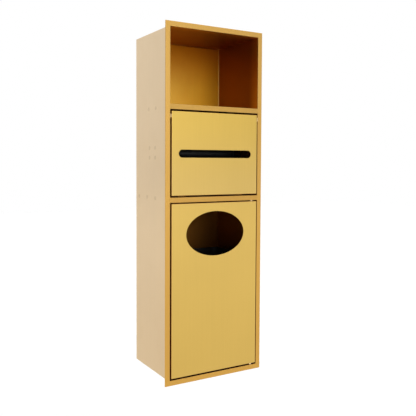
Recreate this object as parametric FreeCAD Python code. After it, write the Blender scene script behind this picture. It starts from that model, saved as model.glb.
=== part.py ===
"""Wall-recessed washroom cabinet: open niche, tissue compartment with a slotted flap, and a
waste-bin compartment behind a door with an oval mouth.

Millimetres. X to the right, Y into the wall, Z up. The origin is at the middle of the wall
flange's lower edge, on the flange's back face, so y = 0 is the surface of the wall.
"""

import FreeCAD, Part

import math
import os

V = FreeCAD.Vector
RIGHT = V(1, 0, 0)
BACK = V(0, 1, 0)
UP = V(0, 0, 1)

# Wall flange and box
flange_width = 200.0
flange_height = 630.0
flange_sheet = 1.5
flange_edge_round = 0.4
border = 9.0  # the frame's visible width round the opening
shell_sheet = 1.0
box_depth = 140.0  # from the wall's surface to the outside of the back
rear_return = 12.0  # folded edge that the back panel is welded to
return_relief = 0.5

# Compartments, from the top down
niche_height = 131.0
tissue_height = 152.0
lip_height = 9.0
lip_round = 0.8
shelf_tab_drop = 8.0
shelf_tab_margin = 14.0
shelf_tab_length = 108.0

# Flap and door
door_sheet = 1.0
door_return = 14.0  # depth of the folded edges, front face included
door_proud = 1.5  # how far the faces stand in front of the frame
door_edge_round = 1.2
side_gap = 2.0
flap_top_gap = 3.0
flap_bottom_gap = 2.7
door_top_gap = 2.0
door_bottom_gap = 3.1
slot_margin = 14.0  # from the flap's side to the slot's end
slot_height = 14.0
oval_margin = 29.0  # from the door's side to the oval
oval_height = 80.0
oval_drop = 55.2  # from the door's top edge to the oval's centre

# Hinge pins and bushes
pin_radius = 2.0
pin_reach = 3.5  # how far a pin passes through a door's folded edge
pin_depth = 2.5  # from the wall's surface back to the pins' axes
flap_pin_drop = 8.5  # from the flap's top edge to its axis
bush_wall = 0.6
bush_flange_radius = 3.2
bush_sleeve = 2.0
seat_play = 0.02
running_play = 0.05
rest_gap = 0.3  # between moving and fixed pieces at rest
swing_gap = 0.3  # between the door's hinge corner and the frame as it turns
swing_spare = 1.0

# Stops for the flap and the door
stop_width = 16.0
stop_height = 12.0
stop_foot = 5.0
stop_sheet = 1.0
stop_inset = 31.0  # from the opening's side to a stop's middle
bumper_radius = 4.0
bumper_thickness = 2.0
bumper_rise = 5.5

# Magnetic catch and its strike
catch_drop = 32.0  # from the door opening's top to the catch's centre
catch_width = 12.0
catch_length = 20.0
catch_height = 40.0
magnet_thickness = 3.0
magnet_length = 12.5
magnet_height = 22.0
pole_thickness = 1.6
pole_proud = 0.5
pocket_play = 0.3
stud_radius = 1.5
stud_play = 0.2
stud_margin = 3.5
stud_spare = 0.6
nut_across = 5.5
nut_thickness = 2.4
strike_height = 28.0
strike_sheet = 1.0
strike_reach = 10.0
strike_leg = 11.0
rivet_radius = 1.5
rivet_head_radius = 2.6
rivet_head = 1.0
rivet_spread = 7.0

# Roll brackets and spindle
bracket_depth = 68.1  # from the wall's surface back to the spindle's axis
bracket_length = 32.0
bracket_height = 26.0
bracket_sheet = 1.2
bracket_corner = 3.0
socket_length = 9.0
socket_wall = 2.4
nib_radius = 4.55
nib_end_gap = 0.5
shoulder_gap = 1.0
sleeve_radius = 11.0
sleeve_wall = 1.3
sleeve_length = 100.0
plunger_wall = 1.4
plunger_tail = 50.0  # the length of plunger inside the sleeve
spindle_end = 2.8
spring_wire = 0.6
spring_turns = 8
spring_play = 1.2

# Waste bin
bin_height = 205.0
bin_wall = 1.6
bin_corner = 14.0
bin_side_gap = 8.0
bin_front_gap = 1.0
bin_back_gap = 10.0
rim_width = 3.0
rim_skirt = 8.0
foot_radius = 6.0
foot_height = 2.0
foot_inset = 18.0

# Holes for the wall screws, in the back panel
screw_hole_radius = 2.75
screw_inset = 31.0  # from the opening's side to a hole's centre
screw_rise = 380.0
screw_low = 60.0

# Levels and planes that the pieces share
frame_front = -flange_sheet
opening_half = flange_width / 2 - border
box_half = opening_half + shell_sheet
floor_top = border
ceiling = flange_height - border
niche_floor = ceiling - niche_height
flap_opening_top = niche_floor - lip_height
divider_top = flap_opening_top - tissue_height
door_opening_top = divider_top - lip_height
back_inner = box_depth - 2 * shell_sheet
door_front = frame_front - door_proud
door_rear = door_front + door_return
door_half = opening_half - side_gap
flap_top = flap_opening_top - flap_top_gap
flap_bottom = divider_top + flap_bottom_gap
door_top = door_opening_top - door_top_gap
door_bottom = floor_top + door_bottom_gap
flap_axis_z = flap_top - flap_pin_drop
bush_radius = pin_radius + running_play + bush_wall
# The door's hinge corner clears the frame when the pin stands this far in from the edge.
corner_reach = pin_depth - door_front
corner_slack = side_gap - swing_gap
door_pin_inset = (corner_reach**2 - corner_slack**2) / (2 * corner_slack) + swing_spare
door_axis_x = door_half - door_pin_inset
stop_front = door_rear + rest_gap + bumper_thickness
catch_z = door_opening_top - catch_drop
strike_rear = door_rear + strike_sheet
catch_front = strike_rear + rest_gap + pole_proud
spindle_z = (divider_top + flap_opening_top) / 2 + 1.6
socket_radius = nib_radius + running_play
shoulder_half = opening_half - bracket_sheet - socket_length - shoulder_gap
nib_length = socket_length + shoulder_gap - nib_end_gap
sleeve_bore = sleeve_radius - sleeve_wall
plunger_radius = sleeve_bore - rest_gap
plunger_start = sleeve_length - shoulder_half - plunger_tail


def block(x, y, z):
    """A box between two X, two Y and two Z values, in either order."""
    low = V(min(x), min(y), min(z))
    size = V(max(x), max(y), max(z)) - low
    return Part.makeBox(size.x, size.y, size.z, low)


def rod(radius, start, end):
    """A cylinder from one point to another."""
    along = end - start
    return Part.makeCylinder(radius, along.Length, start, along)


def fused(*shapes):
    return shapes[0].multiFuse(list(shapes[1:])).removeSplitter()


def round_edges(shape, radius, wanted):
    return shape.makeFillet(radius, [edge for edge in shape.Edges if wanted(edge)])


def lies_at(edge, axis, value):
    """Whether the whole edge lies on the plane where this axis has this value."""
    return all(abs(getattr(vertex.Point, axis) - value) < 1e-6 for vertex in edge.Vertexes)


def rounded_block(x, y, z, radius):
    """A box with rounded upright edges."""
    body = block(x, y, z)
    return round_edges(body, radius, lambda e: abs(e.tangentAt(e.FirstParameter).z) > 0.99)


def make_front_frame():
    plate = block(
        (-flange_width / 2, flange_width / 2), (frame_front, 0), (0, flange_height)
    )
    plate = round_edges(plate, flange_edge_round, lambda e: lies_at(e, "y", frame_front))
    opening = block(
        (-box_half, box_half),
        (frame_front - 1, 1),
        (floor_top - shell_sheet, ceiling + shell_sheet),
    )
    return plate.cut(opening)


def make_side_panel(side):
    """A side of the box, with its rear edge folded in behind the back panel."""
    outer = side * box_half
    inner = side * opening_half
    wall = block(
        (outer, inner), (frame_front, box_depth), (floor_top - shell_sheet, ceiling + shell_sheet)
    )
    fold = block(
        (inner, inner - side * rear_return),
        (box_depth - shell_sheet, box_depth),
        (floor_top, ceiling),
    )
    panel = fused(wall, fold)
    panel = round_edges(
        panel,
        shell_sheet * 0.9,
        lambda e: lies_at(e, "x", outer) and lies_at(e, "y", box_depth),
    )
    return panel.cut(make_flap_pin(side))


def make_end_panel(outer_z, inner_z):
    """The box's top or bottom, with its rear edge folded over."""
    turn = 1 if inner_z > outer_z else -1
    plate = block((-opening_half, opening_half), (frame_front, box_depth), (outer_z, inner_z))
    fold_half = opening_half - rear_return - return_relief
    fold = block(
        (-fold_half, fold_half),
        (box_depth - shell_sheet, box_depth),
        (inner_z, inner_z + turn * rear_return),
    )
    return fused(plate, fold)


def make_bottom_panel():
    panel = make_end_panel(floor_top - shell_sheet, floor_top)
    return panel.cut(make_door_pins()[0])


def make_top_panel():
    return make_end_panel(ceiling + shell_sheet, ceiling)


def screw_places():
    for x in (-opening_half + screw_inset, opening_half - screw_inset):
        for z in (screw_low, screw_low + screw_rise):
            yield x, z


def make_back_panel():
    panel = block(
        (-opening_half, opening_half), (back_inner, back_inner + shell_sheet), (floor_top, ceiling)
    )
    for x, z in screw_places():
        panel = panel.cut(rod(screw_hole_radius, V(x, back_inner - 1, z), V(x, box_depth, z)))
    return panel


def make_shelf(top):
    """A shelf whose front edge is the frame's cross bar, with turned-down end and rear edges."""
    across = (-opening_half, opening_half)
    plate = block(across, (frame_front, back_inner), (top - shell_sheet, top))
    lip = block(across, (frame_front, frame_front + shell_sheet), (top - lip_height, top))
    rear = block(across, (back_inner - shell_sheet, back_inner), (top - shelf_tab_drop, top))
    tab_span = (shelf_tab_margin, shelf_tab_margin + shelf_tab_length)
    tabs = [
        block(
            (side * opening_half, side * (opening_half - shell_sheet)),
            tab_span,
            (top - shelf_tab_drop, top),
        )
        for side in (-1, 1)
    ]
    shelf = fused(plate, lip, rear, *tabs)
    return round_edges(
        shelf, lip_round, lambda e: lies_at(e, "y", frame_front) and lies_at(e, "z", top)
    )


def make_bin_divider():
    return make_shelf(divider_top).cut(make_door_pins()[1])


def make_tray(bottom, top):
    """A sheet face with its four edges folded back."""
    across = (-door_half, door_half)
    face = block(across, (door_front, door_rear), (bottom, top))
    face = round_edges(face, door_edge_round, lambda e: lies_at(e, "y", door_front))
    inside = block(
        (-door_half + door_sheet, door_half - door_sheet),
        (door_front + door_sheet, door_rear + 1),
        (bottom + door_sheet, top - door_sheet),
    )
    return face.cut(inside)


def make_slot_cutter(z):
    radius = slot_height / 2
    straight = door_half - slot_margin - radius
    depth = (door_front - 1, door_front + door_sheet + 1)
    middle = block((-straight, straight), depth, (z - radius, z + radius))
    ends = [rod(radius, V(x, depth[0], z), V(x, depth[1], z)) for x in (-straight, straight)]
    return fused(middle, *ends)


def make_oval_cutter(z):
    centre = V(0, door_front - 1, z)
    oval = Part.Ellipse(
        centre + RIGHT * (door_half - oval_margin), centre + UP * (oval_height / 2), centre
    )
    return Part.Face(Part.Wire(oval.toShape())).extrude(BACK * (door_sheet + 2))


def bush_seat(centre, along):
    """The hole in a folded edge that a bush's sleeve is pressed into."""
    return rod(bush_radius + seat_play, centre - along * (door_sheet + 1), centre + along)


def make_bush(centre, along, flange):
    """A flanged bush: its flange runs from the folded edge's outer face along the given way."""
    collar = rod(bush_flange_radius, centre, centre + along * flange)
    sleeve = rod(bush_radius, centre - along * bush_sleeve, centre)
    bore = rod(
        pin_radius + running_play, centre - along * (bush_sleeve + 1), centre + along * (flange + 1)
    )
    return fused(collar, sleeve).cut(bore)


def flap_bush_place(side):
    return V(side * door_half, pin_depth, flap_axis_z), RIGHT * side


def door_bush_places():
    """The lower and the upper bush: place, way out, and the gap that its flange fills."""
    yield V(door_axis_x, pin_depth, door_bottom), -UP, door_bottom_gap
    yield V(door_axis_x, pin_depth, door_top), UP, door_top_gap


def make_flap_pin(side):
    reach = door_half - pin_reach
    return rod(
        pin_radius,
        V(side * box_half, pin_depth, flap_axis_z),
        V(side * reach, pin_depth, flap_axis_z),
    )


def make_door_pins():
    """The lower pin stands on the bottom panel and the upper one hangs from the divider."""
    spans = (
        (floor_top - shell_sheet, door_bottom + pin_reach),
        (divider_top, door_top - pin_reach),
    )
    return [
        rod(pin_radius, V(door_axis_x, pin_depth, start), V(door_axis_x, pin_depth, end))
        for start, end in spans
    ]


def make_tissue_flap():
    flap = make_tray(flap_bottom, flap_top)
    flap = flap.cut(make_slot_cutter((flap_bottom + flap_top) / 2))
    for side in (-1, 1):
        flap = flap.cut(bush_seat(*flap_bush_place(side)))
    return flap


def make_flap_bushes():
    return [make_bush(*flap_bush_place(side), side_gap - rest_gap) for side in (-1, 1)]


def rivet_places():
    for z in (catch_z - rivet_spread, catch_z + rivet_spread):
        yield V(-door_half, door_rear - strike_leg / 2, z)


def make_bin_door():
    door = make_tray(door_bottom, door_top)
    door = door.cut(make_oval_cutter(door_top - oval_drop))
    for place, along, _ in door_bush_places():
        door = door.cut(bush_seat(place, along))
    for place in rivet_places():
        door = door.cut(rod(rivet_radius + seat_play, place - RIGHT, place + RIGHT * 2))
    return door


def make_door_bushes():
    return [make_bush(place, along, gap - rest_gap) for place, along, gap in door_bush_places()]


def make_strike_plate():
    """An angle inside the door's free edge that the magnet pulls on."""
    inner = -door_half + door_sheet
    height = (catch_z - strike_height / 2, catch_z + strike_height / 2)
    leg = block((inner, inner + strike_sheet), (strike_rear - strike_leg, strike_rear), height)
    pad = block((inner, inner + strike_reach), (door_rear, strike_rear), height)
    plate = fused(leg, pad)
    for place in rivet_places():
        plate = plate.cut(rod(rivet_radius + seat_play, place, place + RIGHT * 3))
    return plate


def make_strike_rivets():
    grip = door_sheet + strike_sheet
    return [
        fused(
            rod(rivet_radius, place, place + RIGHT * grip),
            rod(rivet_head_radius, place + RIGHT * grip, place + RIGHT * (grip + rivet_head)),
        )
        for place in rivet_places()
    ]


def make_stop_tab(x, floor):
    across = (x - stop_width / 2, x + stop_width / 2)
    foot = block(across, (stop_front, stop_front + stop_foot), (floor, floor + stop_sheet))
    face = block(across, (stop_front, stop_front + stop_sheet), (floor, floor + stop_height))
    return fused(foot, face)


def make_bumper(x, floor):
    rear = V(x, stop_front, floor + bumper_rise)
    pad = rod(bumper_radius, rear, rear - BACK * bumper_thickness)
    return round_edges(
        pad,
        bumper_thickness / 4,
        lambda e: abs(e.Vertexes[0].Point.y - (stop_front - bumper_thickness)) < 1e-6,
    )


def stop_places():
    return (-opening_half + stop_inset, opening_half - stop_inset)


def catch_middle():
    return -opening_half + catch_width / 2


def magnet_span():
    """The depths that the magnet lies between, behind the catch's front."""
    return catch_front + pole_proud, catch_front + pole_proud + magnet_length


def stud_places():
    rise = catch_height / 2 - stud_margin
    for z in (catch_z - rise, catch_z + rise):
        yield V(-opening_half, catch_front + catch_length / 2, z)


def make_catch_housing():
    body = rounded_block(
        (-opening_half, -opening_half + catch_width),
        (catch_front, catch_front + catch_length),
        (catch_z - catch_height / 2, catch_z + catch_height / 2),
        1.0,
    )
    pocket_half = magnet_thickness / 2 + pole_thickness + pocket_play
    pocket_rise = magnet_height / 2 + pocket_play
    pocket = block(
        (catch_middle() - pocket_half, catch_middle() + pocket_half),
        (catch_front - 1, magnet_span()[1]),
        (catch_z - pocket_rise, catch_z + pocket_rise),
    )
    body = body.cut(pocket)
    for place in stud_places():
        bore = rod(stud_radius + stud_play, place - RIGHT, place + RIGHT * (catch_width + 1))
        body = body.cut(bore)
    return body


def make_catch_magnet():
    return block(
        (catch_middle() - magnet_thickness / 2, catch_middle() + magnet_thickness / 2),
        magnet_span(),
        (catch_z - magnet_height / 2, catch_z + magnet_height / 2),
    )


def make_pole_plates():
    near = magnet_thickness / 2
    return [
        block(
            (catch_middle() + side * near, catch_middle() + side * (near + pole_thickness)),
            (catch_front - pole_proud, magnet_span()[1]),
            (catch_z - magnet_height / 2, catch_z + magnet_height / 2),
        )
        for side in (-1, 1)
    ]


def make_catch_studs():
    length = catch_width + nut_thickness + stud_spare
    return [rod(stud_radius, place, place + RIGHT * length) for place in stud_places()]


def make_catch_nuts():
    nuts = []
    for place in stud_places():
        seat = place + RIGHT * catch_width
        radius = nut_across / math.sqrt(3)
        turns = [math.radians(60 * step) for step in range(7)]
        points = [seat + V(0, radius * math.cos(t), radius * math.sin(t)) for t in turns]
        blank = Part.Face(Part.makePolygon(points)).extrude(RIGHT * nut_thickness)
        hole = rod(stud_radius + seat_play, seat - RIGHT, seat + RIGHT * (nut_thickness + 1))
        nuts.append(blank.cut(hole))
    return nuts


def make_roll_bracket(side):
    """A plate on the side panel with a round socket for the spindle's end."""
    wall = side * opening_half
    seat = wall - side * bracket_sheet
    plate = block(
        (wall, seat),
        (bracket_depth - bracket_length / 2, bracket_depth + bracket_length / 2),
        (spindle_z - bracket_height / 2, spindle_z + bracket_height / 2),
    )
    plate = round_edges(
        plate, bracket_corner, lambda e: abs(e.tangentAt(e.FirstParameter).x) > 0.99
    )
    start = V(seat, bracket_depth, spindle_z)
    mouth = start - RIGHT * (side * socket_length)
    socket = rod(socket_radius + socket_wall, start, mouth)
    hole = rod(socket_radius, start, mouth - RIGHT * side)
    return fused(plate, socket).cut(hole)


def spindle_point(x):
    return V(x, bracket_depth, spindle_z)


def make_spindle_sleeve():
    left = -shoulder_half
    body = rod(sleeve_radius, spindle_point(left), spindle_point(left + sleeve_length))
    bore = rod(
        sleeve_bore, spindle_point(left + spindle_end), spindle_point(left + sleeve_length + 1)
    )
    nib = rod(nib_radius, spindle_point(left), spindle_point(left - nib_length))
    return fused(body.cut(bore), nib)


def make_spindle_plunger():
    right = shoulder_half
    body = rod(plunger_radius, spindle_point(plunger_start), spindle_point(right))
    bore = rod(
        plunger_radius - plunger_wall,
        spindle_point(plunger_start + spindle_end),
        spindle_point(right - spindle_end),
    )
    collar = rod(sleeve_radius, spindle_point(right - spindle_end), spindle_point(right))
    nib = rod(nib_radius, spindle_point(right), spindle_point(right + nib_length))
    return fused(body, collar, nib).cut(bore)


def make_spindle_spring():
    """A coil between the sleeve's closed end and the plunger's.

    Each half turn is an arc in a slightly tilted plane, and runs on into the next without a kink.
    """
    start = -shoulder_half + spindle_end + spring_wire + rest_gap
    end = plunger_start - spring_wire - rest_gap
    coil_radius = sleeve_bore - spring_wire - spring_play
    advance = (end - start) / (2 * spring_turns)
    halves = []
    for step in range(2 * spring_turns):
        up = UP if step % 2 == 0 else -UP
        begin = spindle_point(start + step * advance) - up * coil_radius
        centre = spindle_point(start + (step + 0.5) * advance)
        axis = BACK.cross(centre - begin) * up.z
        section = Part.Face(Part.Wire(Part.makeCircle(spring_wire, begin, BACK)))
        halves.append(section.revolve(centre, axis, 180))
    return fused(*halves)


def make_waste_bin():
    """An open-topped bin with a turned-down rim, standing on four moulded feet."""
    half = opening_half - bin_side_gap - rim_width
    front = stop_front + stop_foot + bin_front_gap + rim_width
    back = back_inner - bin_back_gap - rim_width
    foot_bottom = floor_top + rest_gap
    low = foot_bottom + foot_height
    top = low + bin_height
    body = rounded_block((-half, half), (front, back), (low, top), bin_corner)
    rim = rounded_block(
        (-half - rim_width, half + rim_width),
        (front - rim_width, back + rim_width),
        (top - rim_skirt, top),
        bin_corner + rim_width,
    )
    under_rim = rounded_block(
        (-half - rim_width + bin_wall, half + rim_width - bin_wall),
        (front - rim_width + bin_wall, back + rim_width - bin_wall),
        (top - rim_skirt - 1, top - bin_wall),
        bin_corner + rim_width - bin_wall,
    )
    inside = rounded_block(
        (-half + bin_wall, half - bin_wall),
        (front + bin_wall, back - bin_wall),
        (low + bin_wall, top + 1),
        bin_corner - bin_wall,
    )
    feet = [
        rod(foot_radius, V(x, y, foot_bottom), V(x, y, low))
        for x in (-half + foot_inset, half - foot_inset)
        for y in (front + foot_inset, back - foot_inset)
    ]
    return fused(rim.cut(under_rim), body, *feet).cut(inside)


def export(name, *shapes):
    shape = shapes[0] if len(shapes) == 1 else Part.makeCompound(list(shapes))
    shape.exportStep(f"parts/{name}.step")


os.makedirs("parts", exist_ok=True)

# Cabinet
export("front_frame", make_front_frame())
export("side_panel_left", make_side_panel(-1))
export("side_panel_right", make_side_panel(1))
export("top_panel", make_top_panel())
export("bottom_panel", make_bottom_panel())
export("back_panel", make_back_panel())
export("niche_shelf", make_shelf(niche_floor))
export("bin_divider", make_bin_divider())
export("flap_hinge_pins", make_flap_pin(-1), make_flap_pin(1))
export("flap_stop_tabs", *[make_stop_tab(x, divider_top) for x in stop_places()])
export("flap_bumpers", *[make_bumper(x, divider_top) for x in stop_places()])
export("bin_door_pins", *make_door_pins())
export("door_stop_tabs", *[make_stop_tab(x, floor_top) for x in stop_places()])
export("door_bumpers", *[make_bumper(x, floor_top) for x in stop_places()])
export("catch_housing", make_catch_housing())
export("catch_magnet", make_catch_magnet())
export("catch_pole_plates", *make_pole_plates())
export("catch_studs", *make_catch_studs())
export("catch_nuts", *make_catch_nuts())
export("roll_bracket_left", make_roll_bracket(-1))
export("roll_bracket_right", make_roll_bracket(1))

# Flap
export("tissue_flap", make_tissue_flap())
export("flap_hinge_bushes", *make_flap_bushes())

# Door
export("bin_door", make_bin_door())
export("bin_door_bushes", *make_door_bushes())
export("strike_plate", make_strike_plate())
export("strike_rivets", *make_strike_rivets())

# Spindle for the paper roll
export("spindle_sleeve", make_spindle_sleeve())
export("spindle_plunger", make_spindle_plunger())
export("spindle_spring", make_spindle_spring())

# Waste bin
export("waste_bin", make_waste_bin())
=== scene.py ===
"""Looks of the wall-recessed washroom cabinet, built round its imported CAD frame. Metres."""

import math

import bpy
import bmesh
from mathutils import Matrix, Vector


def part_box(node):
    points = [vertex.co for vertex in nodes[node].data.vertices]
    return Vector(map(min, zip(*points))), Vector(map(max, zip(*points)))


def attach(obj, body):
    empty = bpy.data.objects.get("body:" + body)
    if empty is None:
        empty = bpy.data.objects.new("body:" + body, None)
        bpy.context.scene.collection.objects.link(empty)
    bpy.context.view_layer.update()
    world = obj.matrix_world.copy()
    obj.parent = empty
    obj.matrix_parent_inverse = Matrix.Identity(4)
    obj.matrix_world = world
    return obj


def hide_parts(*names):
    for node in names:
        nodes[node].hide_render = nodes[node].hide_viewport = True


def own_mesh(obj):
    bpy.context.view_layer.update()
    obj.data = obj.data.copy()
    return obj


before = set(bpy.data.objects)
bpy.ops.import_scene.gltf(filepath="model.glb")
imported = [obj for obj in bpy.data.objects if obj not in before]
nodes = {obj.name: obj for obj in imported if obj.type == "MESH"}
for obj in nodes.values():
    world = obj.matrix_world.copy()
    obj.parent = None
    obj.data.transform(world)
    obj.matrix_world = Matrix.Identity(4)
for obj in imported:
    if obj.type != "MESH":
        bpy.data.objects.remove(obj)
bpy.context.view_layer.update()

MM = 0.001
RIGHT, BACK, UP = Vector((1, 0, 0)), Vector((0, 1, 0)), Vector((0, 0, 1))

# Planes of the cabinet, read from its nodes
box_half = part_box("side_panel_right")[1].x
back_middle = sum(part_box("back_panel"), Vector()).y / 2
box_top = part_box("top_panel")[1].z
box_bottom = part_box("bottom_panel")[0].z
frame_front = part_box("front_frame")[0].y
niche_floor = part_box("niche_shelf")[1].z
door_front, door_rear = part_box("bin_door")[0].y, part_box("bin_door")[1].y
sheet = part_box("side_panel_right")[1].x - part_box("back_panel")[1].x
half_sheet = 0.5 * sheet


# ---------------------------------------------------------------- colours


def colour(red, green, blue):
    """A linear colour from its 0-255 display values."""
    values = [part / 255 for part in (red, green, blue)]
    linear = [v / 12.92 if v <= 0.04045 else ((v + 0.055) / 1.055) ** 2.4 for v in values]
    return (*linear, 1.0)


def darker(tint, share):
    return (tint[0] * share, tint[1] * share, tint[2] * share, 1.0)


def lighter(tint, amount):
    return (tint[0] + amount, tint[1] + amount, tint[2] + amount, 1.0)


# Each pair is the tint at the piece's foot and at its top.
FRAME_GOLD = colour(209, 160, 77), colour(213, 168, 89)
FLAP_GOLD = colour(214, 181, 104), colour(218, 183, 92)
DOOR_GOLD = colour(212, 176, 92), colour(217, 182, 98)
# The box's outside is paler than its front: a painted reflection of the white surroundings, lighter
# towards the top.
SIDE_REFLECTION_GOLD = colour(216, 188, 146), colour(238, 213, 176)
# Painted shade at the niche's mouth: darker and more orange than the front, darker towards the top.
NICHE_MOUTH_SHADE_GOLD = colour(214, 146, 50), colour(200, 130, 36)
# The niche's corner beads: a painted highlight at the foot and painted shade towards the top.
BEAD_LIGHT_AND_SHADE = colour(240, 190, 96), colour(176, 122, 56)
# Deep in the niche there is one pair for its left side and one for its right side, the right darker than
# the left.
# Painted shade on the niche's side walls and ceiling, darker than at its mouth.
NICHE_SHADE_GOLD = (
    (colour(158, 94, 24), colour(172, 104, 22)),
    (colour(146, 84, 20), colour(158, 92, 18)),
)
# The niche's back wall: a painted reflection, bright at the foot, and painted shadow of the ceiling
# towards the top, the right side darker.
NICHE_BACK_LIGHT_AND_SHADE = (
    (colour(255, 212, 100), colour(198, 128, 28)),
    (colour(255, 194, 52), colour(188, 112, 16)),
)
# Painted shade on the walls behind the flap and the door.
COMPARTMENT_SHADE_GOLD = colour(150, 100, 40)
FOLDED_EDGE = colour(214, 166, 86)
# Painted shade in the gaps round the doors and just behind them.
CREVICE_SHADE = colour(140, 48, 14)


# ---------------------------------------------------------------- materials

UPRIGHT, ACROSS = (1, 1, 0.006), (0.006, 1, 1)  # how the noise is stretched into brushed grain

# Depths over which the tint of a folded piece changes: into painted shade in the niche, behind the doors
# and on their turned edges, and into a painted reflection on the box's outside
NEAR_SKIN = 0.1 * MM  # no change within this far behind the flange's face
WALL_SKIN = 0.2 * MM  # the outside's painted reflection starts this far behind the wall's plane
NICHE_START = 3 * MM
NICHE_DEPTH = 30 * MM
COMPARTMENT_SHADE_START = 1 * MM
FOLD_DEPTH = 6 * MM

# The forward part of a face's normal: on a door's turned edges at most, on its flat panel at least.
# Painted shade on the turned edges fades out between them.
EDGE_ON, FACE_ON = 0.6, 0.94


class Tree:
    """A material's node tree, with short calls that add and link its nodes."""

    def __init__(self, name):
        self.material = bpy.data.materials.new(name)
        self.material.use_nodes = True
        self.nodes = self.material.node_tree.nodes
        self.links = self.material.node_tree.links
        self.shader = self.nodes["Principled BSDF"]
        self.place = self.add("ShaderNodeTexCoord").outputs["Object"]
        parts = self.add("ShaderNodeSeparateXYZ")
        self.put(parts.inputs[0], self.place)
        self.x, self.y, self.z = parts.outputs

    def add(self, kind, **settings):
        node = self.nodes.new(kind)
        for name, value in settings.items():
            setattr(node, name, value)
        return node

    def put(self, socket, value):
        """Links an output to the socket, or sets the socket's own value."""
        if isinstance(value, bpy.types.NodeSocket):
            self.links.new(value, socket)
        else:
            socket.default_value = value

    def set(self, **values):
        for name, value in values.items():
            self.put(self.shader.inputs[name.replace("_", " ").title()], value)

    def math(self, operation, first, second=0.0):
        node = self.add("ShaderNodeMath", operation=operation)
        self.put(node.inputs[0], first)
        self.put(node.inputs[1], second)
        return node.outputs[0]

    def spread(self, value, low, high, to_low=0.0, to_high=1.0):
        """Maps a range of values smoothly onto another one."""
        node = self.add("ShaderNodeMapRange", interpolation_type="SMOOTHSTEP")
        for socket, number in zip(node.inputs, (value, low, high, to_low, to_high)):
            self.put(socket, number)
        return node.outputs[0]

    def noise(self, scale, detail=2.0, roughness=0.5, stretch=(1, 1, 1)):
        mapping = self.add("ShaderNodeMapping")
        self.put(mapping.inputs["Vector"], self.place)
        self.put(mapping.inputs["Scale"], stretch)
        node = self.add("ShaderNodeTexNoise")
        self.put(node.inputs["Vector"], mapping.outputs[0])
        self.put(node.inputs["Scale"], scale)
        self.put(node.inputs["Detail"], detail)
        self.put(node.inputs["Roughness"], roughness)
        return node.outputs[0]

    def mix(self, share, first, second):
        node = self.add("ShaderNodeMix", data_type="RGBA")
        self.put(node.inputs[0], share)
        self.put(node.inputs[6], first)
        self.put(node.inputs[7], second)
        return node.outputs[2]

    def scaled(self, tint, share):
        node = self.add("ShaderNodeVectorMath", operation="SCALE")
        self.put(node.inputs[0], tint)
        self.put(node.inputs["Scale"], share)
        return node.outputs[0]

    def by_height(self, tints, heights):
        return self.mix(self.spread(self.z, *heights), *tints)

    def normal(self, height, distance, strength, edge_round):
        """Bump from the height, over edges that catch the light as if eased by this radius."""
        bump = self.add("ShaderNodeBump")
        self.put(bump.inputs["Height"], height)
        self.put(bump.inputs["Distance"], distance)
        self.put(bump.inputs["Strength"], strength)
        bevel = self.add("ShaderNodeBevel", samples=4)
        self.put(bevel.inputs["Radius"], edge_round)
        self.put(bump.inputs["Normal"], bevel.outputs[0])
        self.put(self.shader.inputs["Normal"], bump.outputs[0])

    def outside(self):
        """1 on the faces of the box that the wall hides, 0 on all others."""
        beyond = [
            self.math("GREATER_THAN", self.math("ABSOLUTE", self.x), box_half - half_sheet),
            self.math("GREATER_THAN", self.y, back_middle),
            self.math("GREATER_THAN", self.z, box_top - half_sheet),
            self.math("LESS_THAN", self.z, box_bottom + half_sheet),
        ]
        any_of = beyond[0]
        for other in beyond[1:]:
            any_of = self.math("MAXIMUM", any_of, other)
        behind_flange = self.math("GREATER_THAN", self.y, WALL_SKIN)
        return self.math("MULTIPLY", any_of, behind_flange)

    def behind_front(self, fade):
        """0 on the flange's front face, 1 from this far behind it."""
        return self.spread(self.y, frame_front + NEAR_SKIN, frame_front + fade)

    def inside(self):
        """1 within the box's sides, 0 on the flange's outer edges."""
        return self.math("LESS_THAN", self.math("ABSOLUTE", self.x), box_half - half_sheet)

    def niche(self):
        """1 on the walls of the open niche, 0 elsewhere."""
        above = self.math("GREATER_THAN", self.z, niche_floor - half_sheet)
        behind = self.math("MULTIPLY", self.behind_front(NICHE_START), self.inside())
        return self.math("MULTIPLY", above, behind)

    def compartments(self):
        """1 on the walls behind the flap and the door, 0 elsewhere."""
        below = self.math("LESS_THAN", self.z, niche_floor - half_sheet)
        behind = self.math("MULTIPLY", self.behind_front(COMPARTMENT_SHADE_START), self.inside())
        return self.math("MULTIPLY", below, behind)


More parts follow.
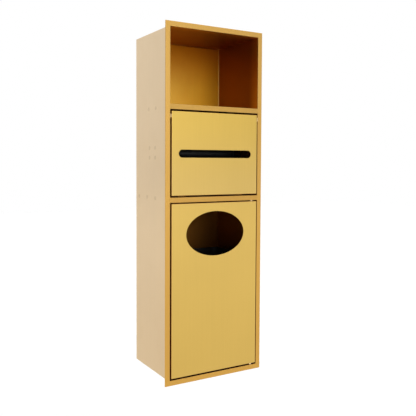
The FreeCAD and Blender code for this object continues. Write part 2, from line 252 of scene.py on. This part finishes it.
def brushed(
    name, tints, heights, grain, roughness=0.33, sideways=0.75, niche=None, folds=None, ease=0.35 * MM
):
    """Gold-coloured brushed steel, whose grain is stretched along one axis of the object.

    Its tint runs from the first to the second over these heights. On a piece of the box, niche holds the
    pairs of painted-shade tints that its part of the niche has on the left and on the right; its walls
    behind the doors take painted shade too, and its outside a painted reflection. On a door, folds is the
    tint of its turned edges, which darken into painted shade near the front. ease is the radius that its
    sharp edges seem to have.
    """
    tree = Tree(name)
    hairline = tree.noise(scale=2400, detail=2, roughness=0.6, stretch=grain)
    streaks = tree.noise(scale=420, detail=2, roughness=0.5, stretch=grain)
    clouds = tree.noise(scale=7, detail=2)
    smudges = tree.noise(scale=30, detail=4, roughness=0.65)
    tint = tree.by_height(tints, heights)
    if niche:
        rooms = niche_floor, box_top
        # Painted shade on the niche's walls: lighter at its mouth, darker deeper in, with separate tints
        # on its left and right.
        walls = tree.mix(
            tree.spread(tree.y, 0.0, NICHE_DEPTH),
            tree.by_height(NICHE_MOUTH_SHADE_GOLD, rooms),
            tree.mix(
                tree.spread(tree.x, -box_half, box_half),
                *[tree.by_height(side, rooms) for side in niche],
            ),
        )
        tint = tree.mix(tree.niche(), tint, walls)
        # Painted shade on the walls behind the flap and the door, darkest just behind their gaps.
        compartment_shade = tree.mix(tree.spread(tree.y, 0, door_rear), CREVICE_SHADE, COMPARTMENT_SHADE_GOLD)
        tint = tree.mix(tree.compartments(), tint, compartment_shade)
        # A painted reflection of the white surroundings on the faces that the wall hides, lighter towards
        # the top.
        tint = tree.mix(tree.outside(), tint, tree.by_height(SIDE_REFLECTION_GOLD, heights))
    # Painted shade on a door's turned edges and the outer part of its rounded rim, darkest at the front
    # and fading to the edges' own tint deeper in.
    if folds:
        facing = tree.add("ShaderNodeSeparateXYZ")
        tree.put(facing.inputs[0], tree.add("ShaderNodeTexCoord").outputs["Normal"])
        forwards = tree.math("ABSOLUTE", facing.outputs["Y"])
        edgewise = tree.spread(forwards, EDGE_ON, FACE_ON, to_low=1, to_high=0)
        fold_depth = tree.spread(tree.y, frame_front, frame_front + FOLD_DEPTH)
        edges = tree.mix(fold_depth, CREVICE_SHADE, folds)
        tint = tree.mix(edgewise, tint, edges)
    shade = tree.math(
        "MULTIPLY",
        tree.spread(hairline, 0.25, 0.75, to_low=0.98, to_high=1.01),
        tree.spread(streaks, 0.3, 0.7, to_low=0.992, to_high=1.006),
    )
    shade = tree.math("MULTIPLY", shade, tree.spread(clouds, 0.3, 0.7, to_low=0.97, to_high=1.0))
    rough = tree.math(
        "ADD",
        tree.spread(hairline, 0.2, 0.8, to_low=roughness - 0.04, to_high=roughness + 0.04),
        tree.spread(smudges, 0.45, 0.75, to_low=0, to_high=0.04),
    )
    tree.set(base_color=tree.scaled(tint, shade), roughness=rough, metallic=1.0)
    axis = "Z" if grain is UPRIGHT else "X"
    tangent = tree.add("ShaderNodeTangent", direction_type="RADIAL", axis=axis)
    tree.set(anisotropic=sideways, tangent=tangent.outputs[0])
    tree.normal(hairline, distance=0.01 * MM, strength=0.15, edge_round=ease)
    return tree.material


def turned(name, base, roughness):
    """Bare metal with fine turning marks and a few dull spots."""
    tree = Tree(name)
    marks = tree.noise(scale=5200, detail=2, roughness=0.6)
    spots = tree.noise(scale=240, detail=3)
    dull = tree.spread(spots, 0.45, 0.7, to_low=0, to_high=0.4)
    tree.set(
        base_color=tree.mix(dull, base, darker(base, 0.6)),
        roughness=tree.spread(marks, 0.3, 0.7, to_low=roughness - 0.06, to_high=roughness + 0.08),
        metallic=1.0,
    )
    tree.normal(marks, distance=0.01 * MM, strength=0.3, edge_round=0.15 * MM)
    return tree.material


def moulded(name, base, roughness):
    """Moulded plastic or rubber with a fine pebbled skin and a little dust."""
    tree = Tree(name)
    pebbles = tree.noise(scale=1800, detail=2, roughness=0.6)
    dust = tree.noise(scale=60, detail=4, roughness=0.7)
    dusty = tree.spread(dust, 0.5, 0.8, to_low=0, to_high=0.35)
    tree.set(
        base_color=tree.mix(dusty, base, lighter(base, 0.05)),
        roughness=tree.spread(pebbles, 0.3, 0.7, to_low=roughness - 0.07, to_high=roughness + 0.07),
    )
    tree.normal(pebbles, distance=0.04 * MM, strength=0.5, edge_round=0.3 * MM)
    return tree.material


def heights_of(name):
    low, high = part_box(name)
    return low.z, high.z


whole = heights_of("front_frame")
cabinet_gold = brushed("cabinet_gold", FRAME_GOLD, whole, UPRIGHT, niche=NICHE_SHADE_GOLD)
back_gold = brushed(
    "back_gold", FRAME_GOLD, whole, UPRIGHT, roughness=0.6, sideways=0.0, niche=NICHE_BACK_LIGHT_AND_SHADE
)
shelf_gold = brushed("shelf_gold", FRAME_GOLD, whole, ACROSS, niche=NICHE_SHADE_GOLD)
door_finish = {"grain": UPRIGHT, "folds": FOLDED_EDGE, "ease": 0.8 * MM}
flap_gold = brushed("flap_gold", FLAP_GOLD, heights_of("tissue_flap"), **door_finish)
door_gold = brushed("door_gold", DOOR_GOLD, heights_of("bin_door"), **door_finish)
fitting_tints = [darker(tint, 0.7) for tint in FRAME_GOLD]
# The roll brackets' tint is the frame's gold darkened to 0.3: painted shade for the dark compartment
# behind the slot.
bracket_shade_tints = [darker(tint, 0.3) for tint in FRAME_GOLD]
# The weld marks take the outside's painted reflection tint, a little darker.
weld_tints = [darker(tint, 0.86) for tint in SIDE_REFLECTION_GOLD]
fitting_gold = brushed("fitting_gold", fitting_tints, whole, ACROSS)
bracket_shaded_gold = brushed("bracket_shaded_gold", bracket_shade_tints, whole, ACROSS, roughness=0.4)
weld_gold = brushed("weld_gold", weld_tints, whole, ACROSS, roughness=0.42)
bead_painted_gold = brushed("bead_painted_gold", BEAD_LIGHT_AND_SHADE, (niche_floor, box_top), UPRIGHT)
brass = turned("brass", colour(246, 214, 156), 0.24)
steel = turned("steel", colour(196, 196, 192), 0.28)
ferrite = turned("ferrite", colour(72, 72, 74), 0.6)
rubber = moulded("rubber", colour(38, 38, 38), 0.75)
black_plastic = moulded("black_plastic", colour(30, 30, 31), 0.5)
spindle_plastic = moulded("spindle_plastic", colour(36, 36, 37), 0.45)

finishes = {
    cabinet_gold: ["front_frame", "side_panel_left", "side_panel_right"],
    back_gold: ["back_panel"],
    shelf_gold: ["niche_shelf", "bin_divider", "top_panel", "bottom_panel"],
    flap_gold: ["tissue_flap"],
    door_gold: ["bin_door"],
    fitting_gold: ["flap_stop_tabs", "door_stop_tabs"],
    bracket_shaded_gold: ["roll_bracket_left", "roll_bracket_right"],
    brass: ["flap_hinge_bushes", "bin_door_bushes"],
    steel: [
        "flap_hinge_pins",
        "bin_door_pins",
        "catch_pole_plates",
        "catch_studs",
        "catch_nuts",
        "strike_plate",
        "strike_rivets",
        "spindle_spring",
    ],
    ferrite: ["catch_magnet"],
    rubber: ["flap_bumpers", "door_bumpers"],
    black_plastic: ["catch_housing", "waste_bin"],
    spindle_plastic: ["spindle_sleeve", "spindle_plunger"],
}
for material, names in finishes.items():
    for name in names:
        nodes[name].data.materials.clear()
        nodes[name].data.materials.append(material)


# ---------------------------------------------------------------- added pieces

# A spot weld's rings from its dimple outwards: radius and height above the panel, in millimetres
WELD_RINGS = (
    (0.6, 0.04),
    (1.4, 0.07),
    (2.1, 0.18),
    (2.6, 0.22),
    (3.1, 0.17),
    (3.6, 0.05),
    (3.9, -0.1),
)
WELD_SIDES = 28
BRACKET_WELD_INSET = 4.2 * MM  # from the edges of a roll bracket's plate
TAB_WELD_DROP = 4 * MM  # below the top of the plate that the tab belongs to
TAB_WELD_DEPTHS = (("niche_shelf", (54, 84)), ("bin_divider", (56, 91, 126)))  # in millimetres

BEAD_RADIUS = 1.6 * MM
BEAD_STEPS = 8

COLLAR_SIDES = 64
COLLAR_CLEARANCE = 0.5 * MM  # behind the door's face
COLLAR_OVERLAP = 0.2 * MM  # into the bush that it sits on
COLLAR_GAP = 0.3 * MM  # to the box's side
COLLAR_EASE = 0.3 * MM

WIRE_RADIUS = 0.6 * MM
SPRING_TURNS = 10
STEPS_PER_TURN = 40
WIRE_SIDES = 10
CLOSED_PITCH = 2.04 * WIRE_RADIUS  # an end turn's, which all but touches the next one


def finished(name, builder, material, body="cabinet", smooth=False):
    """Makes a piece that moves with this body from a mesh in the making."""
    mesh = bpy.data.meshes.new(name)
    bmesh.ops.recalc_face_normals(builder, faces=builder.faces)
    builder.to_mesh(mesh)
    builder.free()
    for face in mesh.polygons:
        face.use_smooth = smooth
    mesh.materials.append(material)
    piece = bpy.data.objects.new(name, mesh)
    bpy.context.scene.collection.objects.link(piece)
    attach(piece, body)
    return piece


def bridge(builder, near, far):
    """Joins two rings of corners with a band of faces."""
    for place in range(len(near)):
        after = (place + 1) % len(near)
        builder.faces.new((near[place], near[after], far[after], far[place]))


def weld_mark(name, x, y, z):
    """A spot weld's shallow dimple inside a raised rim, on the outside of a side panel."""
    outward = math.copysign(1, x)
    builder = bmesh.new()
    rings = []
    for radius, height in WELD_RINGS:
        ring = []
        for side in range(WELD_SIDES):
            angle = math.tau * side / WELD_SIDES
            across, up = radius * MM * math.cos(angle), radius * MM * math.sin(angle)
            ring.append(builder.verts.new((x + outward * height * MM, y + across, z + up)))
        rings.append(ring)
    builder.faces.new(rings[0])
    builder.faces.new(rings[-1])
    for inner, outer in zip(rings, rings[1:]):
        bridge(builder, inner, outer)
    finished(name, builder, weld_gold, smooth=True)


def make_weld_marks():
    """Where the shelf's and the divider's tabs and the roll brackets are welded to the sides."""
    for side, facing in (("left", -1), ("right", 1)):
        low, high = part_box(f"roll_bracket_{side}")
        places = []
        for y in (low.y + BRACKET_WELD_INSET, high.y - BRACKET_WELD_INSET):
            for z in (low.z + BRACKET_WELD_INSET, high.z - BRACKET_WELD_INSET):
                places.append((y, z))
        for plate, depths in TAB_WELD_DEPTHS:
            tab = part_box(plate)[1].z - TAB_WELD_DROP
            places += [(depth * MM, tab) for depth in depths]
        for number, (y, z) in enumerate(places):
            weld_mark(f"weld_mark_{side}_{number}", facing * box_half, y, z)


def concave_bead(name, corner, run, first, second):
    """A concave bead that fills an inside corner: it runs along run, and its legs lie on two walls."""
    builder = bmesh.new()
    outline = [corner + first * BEAD_RADIUS]
    for step in range(1, BEAD_STEPS):
        angle = math.pi / 2 * step / BEAD_STEPS
        on_first = first * BEAD_RADIUS * (1 - math.sin(angle))
        on_second = second * BEAD_RADIUS * (1 - math.cos(angle))
        outline.append(corner + on_first + on_second)
    outline += [corner + second * BEAD_RADIUS, corner]
    near = [builder.verts.new(point) for point in outline]
    far = [builder.verts.new(point + run) for point in outline]
    builder.faces.new(near)
    builder.faces.new(far)
    bridge(builder, near, far)
    finished(name, builder, bead_painted_gold)


def make_niche_beads():
    """The beads that close the niche's back corners at its sides and its ceiling, tinted with painted
    light: a painted highlight at the foot and painted shade towards the top.
    """
    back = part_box("back_panel")[0].y
    ceiling = box_top - sheet
    wall = box_half - sheet
    height = UP * (ceiling - niche_floor)
    for side, facing in (("left", -1), ("right", 1)):
        corner = Vector((facing * wall, back, niche_floor))
        concave_bead(f"niche_bead_{side}", corner, height, RIGHT * -facing, -BACK)
    corner = Vector((-wall + BEAD_RADIUS, back, ceiling))
    concave_bead("niche_bead_top", corner, RIGHT * 2 * (wall - BEAD_RADIUS), -BACK, -UP)


def make_hinge_collars():
    """The wide collars of the flap's bushes, which fill its side gaps at the hinge."""
    low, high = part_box("flap_hinge_bushes")
    axis = (low + high) / 2
    inner = (high.z - low.z) / 2 - COLLAR_OVERLAP
    outer = axis.y - door_front - COLLAR_CLEARANCE
    near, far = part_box("tissue_flap")[1].x, box_half - sheet - COLLAR_GAP
    profile = [
        (near, inner),
        (near, outer),
        (far - COLLAR_EASE, outer),
        (far, outer - COLLAR_EASE),
        (far, inner),
    ]
    for side, facing in (("left", -1), ("right", 1)):
        builder = bmesh.new()
        loops = []
        for turn in range(COLLAR_SIDES):
            angle = math.tau * turn / COLLAR_SIDES
            loop = []
            for x, radius in profile:
                place = (facing * x, axis.y + radius * math.cos(angle), axis.z + radius * math.sin(angle))
                loop.append(builder.verts.new(place))
            loops.append(loop)
        for loop, after in zip(loops, loops[1:] + loops[:1]):
            bridge(builder, loop, after)
        finished(f"flap_hinge_collar_{side}", builder, brass, "tissue_flap")


def coil_advance(turn, pitch):
    """How far along its axis a spring with one closed turn at each end is after this many turns."""
    open_turns = min(max(turn - 1, 0), SPRING_TURNS - 2)
    last_turn = max(turn - SPRING_TURNS + 1, 0)
    return CLOSED_PITCH * min(turn, 1) + pitch * open_turns + CLOSED_PITCH * last_turn


def make_spindle_spring():
    """The spindle's spring with closed ends."""
    low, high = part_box("spindle_spring")
    middle = (low + high) / 2
    coil_radius = (high.z - low.z) / 2 - WIRE_RADIUS
    length = high.x - low.x - 2 * WIRE_RADIUS
    pitch = (length - 2 * CLOSED_PITCH) / (SPRING_TURNS - 2)
    builder = bmesh.new()
    loops = []
    for step in range(SPRING_TURNS * STEPS_PER_TURN + 1):
        turn = step / STEPS_PER_TURN
        x = low.x + WIRE_RADIUS + coil_advance(turn, pitch)
        outward = BACK * math.cos(math.tau * turn) + UP * math.sin(math.tau * turn)
        centre = Vector((x, middle.y, middle.z)) + outward * coil_radius
        loop = []
        for side in range(WIRE_SIDES):
            angle = math.tau * side / WIRE_SIDES
            direction = outward * math.cos(angle) + RIGHT * math.sin(angle)
            loop.append(builder.verts.new(centre + direction * WIRE_RADIUS))
        loops.append(loop)
    for loop, after in zip(loops, loops[1:]):
        bridge(builder, loop, after)
    builder.faces.new(loops[0])
    builder.faces.new(loops[-1])
    spring = finished("spindle_spring_coil", builder, steel, "roll_spindle", smooth=True)
    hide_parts("spindle_spring")
    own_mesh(spring)


make_weld_marks()
make_niche_beads()
make_hinge_collars()
make_spindle_spring()


# ---------------------------------------------------------------- studio

AMBIENT = 0.16
# Soft lights: the direction that each comes from, the degrees that it fades between, its strength
LOBES = (
    ((0.62, -0.78, 0.08), 18, 66, 0.56),  # front right
    ((-0.66, -0.74, 0.08), 14, 50, 0.26),  # front left
    ((0.02, -1, 0.08), 6, 22, 2.1),  # straight ahead, for the niche
    ((-0.45, 0.88, 0.10), 25, 80, 0.75),  # back left
    ((0.75, 0.65, 0.05), 15, 60, 0.45),  # back right
    ((0, 0, 1), 20, 60, 1.05),  # above
    ((0.15, -0.66, 0.74), 8, 31, 1.6),  # above the front
)
FLOOR_SIZE = 7.0  # wide enough that the gold doesn't mirror its edge
FLOOR_HEIGHT = -0.3


def make_world():
    """Soft surroundings that light the cabinet but look plain white to the camera."""
    world = bpy.data.worlds.new("studio")
    world.use_nodes = True
    tree = world.node_tree
    direction = tree.nodes.new("ShaderNodeTexCoord").outputs["Generated"]
    total = None
    for aim, inner, outer, strength in LOBES:
        dot = tree.nodes.new("ShaderNodeVectorMath")
        dot.operation = "DOT_PRODUCT"
        tree.links.new(direction, dot.inputs[0])
        dot.inputs[1].default_value = Vector(aim).normalized()
        fade = tree.nodes.new("ShaderNodeMapRange")
        fade.interpolation_type = "SMOOTHSTEP"
        tree.links.new(dot.outputs["Value"], fade.inputs[0])
        fade.inputs[1].default_value = math.cos(math.radians(outer))
        fade.inputs[2].default_value = math.cos(math.radians(inner))
        fade.inputs[4].default_value = strength
        add = tree.nodes.new("ShaderNodeMath")
        add.inputs[1].default_value = AMBIENT
        tree.links.new(fade.outputs[0], add.inputs[0])
        if total:
            tree.links.new(total, add.inputs[1])
        total = add.outputs[0]
    seen = tree.nodes.new("ShaderNodeLightPath").outputs["Is Camera Ray"]
    strength = tree.nodes.new("ShaderNodeMix")
    tree.links.new(seen, strength.inputs[0])
    tree.links.new(total, strength.inputs[2])
    strength.inputs[3].default_value = 1.0
    background = tree.nodes["Background"]
    background.inputs["Color"].default_value = (1, 1, 1, 1)
    tree.links.new(strength.outputs[0], background.inputs["Strength"])
    bpy.context.scene.world = world


def make_floor():
    """A pale floor some way below the cabinet."""
    mesh = bpy.data.meshes.new("floor")
    builder = bmesh.new()
    bmesh.ops.create_grid(builder, x_segments=1, y_segments=1, size=FLOOR_SIZE)
    builder.to_mesh(mesh)
    builder.free()
    floor = bpy.data.objects.new("floor", mesh)
    floor.location.z = FLOOR_HEIGHT
    bpy.context.scene.collection.objects.link(floor)
    tree = Tree("floor")
    grain = tree.noise(scale=40, detail=3)
    tree.set(base_color=tree.mix(grain, (0.92, 0.92, 0.92, 1), (0.95, 0.95, 0.95, 1)), roughness=0.9)
    mesh.materials.append(tree.material)


def make_camera():
    """The camera at the front left, a little above the cabinet's middle."""
    data = bpy.data.cameras.new("camera")
    data.lens = 51.1
    data.shift_y = -0.048
    camera = bpy.data.objects.new("camera", data)
    camera.location = (-0.5493, -0.9059, 0.3912)
    camera.rotation_euler = [math.radians(turn) for turn in (87.441, -0.269, -30.539)]
    bpy.context.scene.collection.objects.link(camera)
    bpy.context.scene.camera = camera


make_world()
make_floor()
make_camera()
bpy.context.scene.view_settings.view_transform = "Standard"
